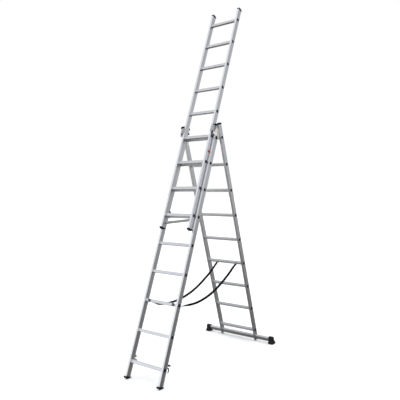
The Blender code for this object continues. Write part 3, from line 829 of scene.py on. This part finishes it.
def add_lock_fittings():
    """The lock bar's pivot screw, the ear that carries it, and the rest behind the bar's free end."""
    section = SECTION["extension"]
    x, y, z = LOCK_PIVOT
    screw = bmesh.new()
    place = facing_front(x, y - LOCK_HALF + SCREW_SUNK, z)
    turned(screw, SCREW_WASHER, place)
    turned(screw, SCREW_HEAD, place, NUT_SIDES)
    screw_piece = new_object("lock_pivot_screw", screw, MATERIAL["bright"], smooth=30)
    screw_piece.matrix_world = section.matrix
    bpy.context.view_layer.update()
    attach(screw_piece, "lock_bar")
    ears = bmesh.new()
    behind = y + LOCK_HALF + LOCK_GAP
    root = -section.inner - EAR_SUNK
    ear = [(root, z - EAR_HALF)] + arc((x, z), EAR_RADIUS, -90, 90, 10) + [(root, z + EAR_HALF)]
    prism(ears, ear, behind, behind + EAR_THICKNESS, "y")
    rest = [(section.inner - inward, LOCK_TIP_HEIGHT + above) for inward, above in REST_OUTLINE]
    prism(ears, rest, behind, behind + REST_THICKNESS, "y")
    settle(new_object("lock_bar_ears", ears, MATERIAL["plastic"]), section, "plastic_black")


RIVET_SUNK = 0.0007              # to the floor of the stile's recess
RIVET_PLACES = {                 # behind each section's mid-plane, above its first rung
    "front": ((0.0, -0.075), (0.010, 0.028)),
    "extension": ((0.0, -0.108), (0.010, 0.028)),
    "rear": ((-0.012, -0.060),),
}


def add_section_rivets(section, places):
    """Domed rivets on both faces of the stiles, through the feet, the hooks and the stabiliser."""
    bm = bmesh.new()
    for y, z in places:
        for sign in SIDES.values():
            turned(bm, RIVET, facing_side(sign * (section.outer - RIVET_SUNK), y, z, sign))
            turned(bm, RIVET, facing_side(sign * (section.inner + RIVET_SUNK), y, z, -sign))
    rivets = new_object(f"{section.name}_rivets", bm, MATERIAL["bright"], smooth=30)
    settle(rivets, section, "steel_zinc")


# ---------------------------------------------------------------- stage and light
FLOOR_TONE = 0.90
SKY_TONE = 1.0               # what the camera sees above the horizon
STUDIO_HEIGHTS = (           # direction's height, and the studio's tone there
    (-1.0, (0.065, 0.062, 0.058)),
    (-0.35, (0.095, 0.091, 0.086)),
    (-0.20, (0.165, 0.160, 0.155)),
    (-0.08, (0.30, 0.296, 0.292)),
    (0.04, (0.585, 0.595, 0.610)),
    (0.22, (0.535, 0.546, 0.562)),
    (0.45, (0.365, 0.374, 0.386)),
    (0.78, (0.46, 0.470, 0.487)),
    (1.0, (0.60, 0.612, 0.632)),
)
# Broad soft panels: direction, tone added at the middle, and the cosines of the outer edge and of
# the full strength.
STUDIO_PANELS = (
    ((-0.61, -0.57, 0.58), (0.445, 0.462, 0.505), (0.56, 0.90)),
    ((0.60, -0.57, 0.56), (0.42, 0.430, 0.445), (0.62, 0.92)),
    ((-0.62, -0.74, -0.23), (0.62, 0.602, 0.575), (0.87, 0.99)),
    ((-0.58, 0.48, -0.68), (0.17, 0.160, 0.148), (0.72, 0.97)),
)
OVERHEAD_SUN = 2.25
OVERHEAD_SPREAD = 120        # degrees
FLOOR_HALF = 400
FLOOR_DROP = 0.0005          # keeps the floor just clear of the soles


def add_stage():
    bm = bmesh.new()
    bmesh.ops.create_grid(bm, x_segments=1, y_segments=1, size=FLOOR_HALF)
    material, tree, shader = node_material("floor")
    shader.inputs["Base Color"].default_value = (FLOOR_TONE, FLOOR_TONE, FLOOR_TONE, 1)
    shader.inputs["Roughness"].default_value = 1.0
    shader.inputs["Specular IOR Level"].default_value = 0.0
    floor = new_object("floor", bm, material)
    floor.location = (0, 0, -FLOOR_DROP)
    floor.visible_glossy = False


def panel_light(tree, direction, towards, tone, edges):
    """A soft round glow in the studio round one direction."""
    facing = add_node(tree, "ShaderNodeVectorMath", operation="DOT_PRODUCT")
    facing.inputs[1].default_value = Vector(towards).normalized()
    tree.links.new(direction, facing.inputs[0])
    softness = add_node(tree, "ShaderNodeMapRange", interpolation_type="SMOOTHSTEP")
    softness.inputs["From Min"].default_value = edges[0]
    softness.inputs["From Max"].default_value = edges[1]
    tree.links.new(facing.outputs["Value"], softness.inputs["Value"])
    glow = add_node(tree, "ShaderNodeMix", data_type="RGBA")
    glow.inputs["A"].default_value = (0, 0, 0, 1)
    glow.inputs["B"].default_value = (*tone, 1)
    tree.links.new(softness.outputs["Result"], glow.inputs["Factor"])
    return glow.outputs["Result"]


def add_world():
    """A studio that looks white, and that lights and reflects as a soft gradient with broad panels."""
    world = bpy.data.worlds.new("studio")
    world.use_nodes = True
    bpy.context.scene.world = world
    tree = world.node_tree
    direction = add_node(tree, "ShaderNodeTexCoord").outputs["Generated"]
    split = add_node(tree, "ShaderNodeSeparateXYZ")
    tree.links.new(direction, split.inputs["Vector"])
    height = add_node(tree, "ShaderNodeMapRange")
    height.inputs["From Min"].default_value = -1.0
    tree.links.new(split.outputs["Z"], height.inputs["Value"])
    tones = add_node(tree, "ShaderNodeValToRGB")
    tree.links.new(height.outputs["Result"], tones.inputs["Fac"])
    stops = tones.color_ramp.elements
    for _ in range(len(STUDIO_HEIGHTS) - 2):
        stops.new(0.5)
    for stop, (level, tone) in zip(stops, STUDIO_HEIGHTS):
        stop.position = (level + 1) / 2
        stop.color = (*tone, 1)
    total = tones.outputs["Color"]
    for towards, tone, edges in STUDIO_PANELS:
        added = add_node(tree, "ShaderNodeMix", data_type="RGBA", blend_type="ADD")
        added.inputs["Factor"].default_value = 1.0
        tree.links.new(total, added.inputs["A"])
        tree.links.new(panel_light(tree, direction, towards, tone, edges), added.inputs["B"])
        total = added.outputs["Result"]
    seen = add_node(tree, "ShaderNodeMix", data_type="RGBA")
    seen.inputs["B"].default_value = (SKY_TONE, SKY_TONE, SKY_TONE, 1)
    light_path = add_node(tree, "ShaderNodeLightPath")
    tree.links.new(light_path.outputs["Is Camera Ray"], seen.inputs["Factor"])
    tree.links.new(total, seen.inputs["A"])
    tree.links.new(seen.outputs["Result"], tree.nodes["Background"].inputs["Color"])


def add_light():
    """The overhead light reaches only matt surfaces; the metal mirrors the studio."""
    bpy.context.scene.view_settings.view_transform = "Standard"
    add_world()
    data = bpy.data.lights.new("overhead", "SUN")
    data.energy = OVERHEAD_SUN
    data.angle = math.radians(OVERHEAD_SPREAD)
    overhead = bpy.data.objects.new("overhead", data)
    overhead.visible_glossy = False
    bpy.context.scene.collection.objects.link(overhead)


# ---------------------------------------------------------------- assembly
add_camera()
for strap_side in SIDES:
    add_strap(strap_side)
for ladder in SECTION.values():
    add_stiles(ladder)
    add_rungs(ladder)
    add_rung_collars(ladder)
    add_rung_plugs(ladder)
add_strap_fixings()
add_guides()
add_bracket_bolts()
for peg_section, peg_outward in PEG_OUTWARD.items():
    add_pegs(SECTION[peg_section], peg_outward)
add_stud()
add_painted_shade_strips()
add_lock_fittings()
for riveted, rivet_places in RIVET_PLACES.items():
    add_section_rivets(SECTION[riveted], rivet_places)
add_stage()
add_light()


def use(node, material):
    obj = NODES[node]
    obj.data.materials.clear()
    obj.data.materials.append(material)


NODE_LOOKS = (                   # what a CAD node's name contains, and its material
    ("cap", "plastic"), ("foot", "rubber"), ("shoe", "rubber"), ("hook", "steel"), ("bolt", "steel"),
    ("hinge_plate", "pale_plate"), ("stabiliser_tube", "stile"), ("lock_bar", "zinc"),
)
for node_name in NODES:
    for part_name, look in NODE_LOOKS:
        if part_name in node_name:
            use(node_name, MATERIAL[look])
            break
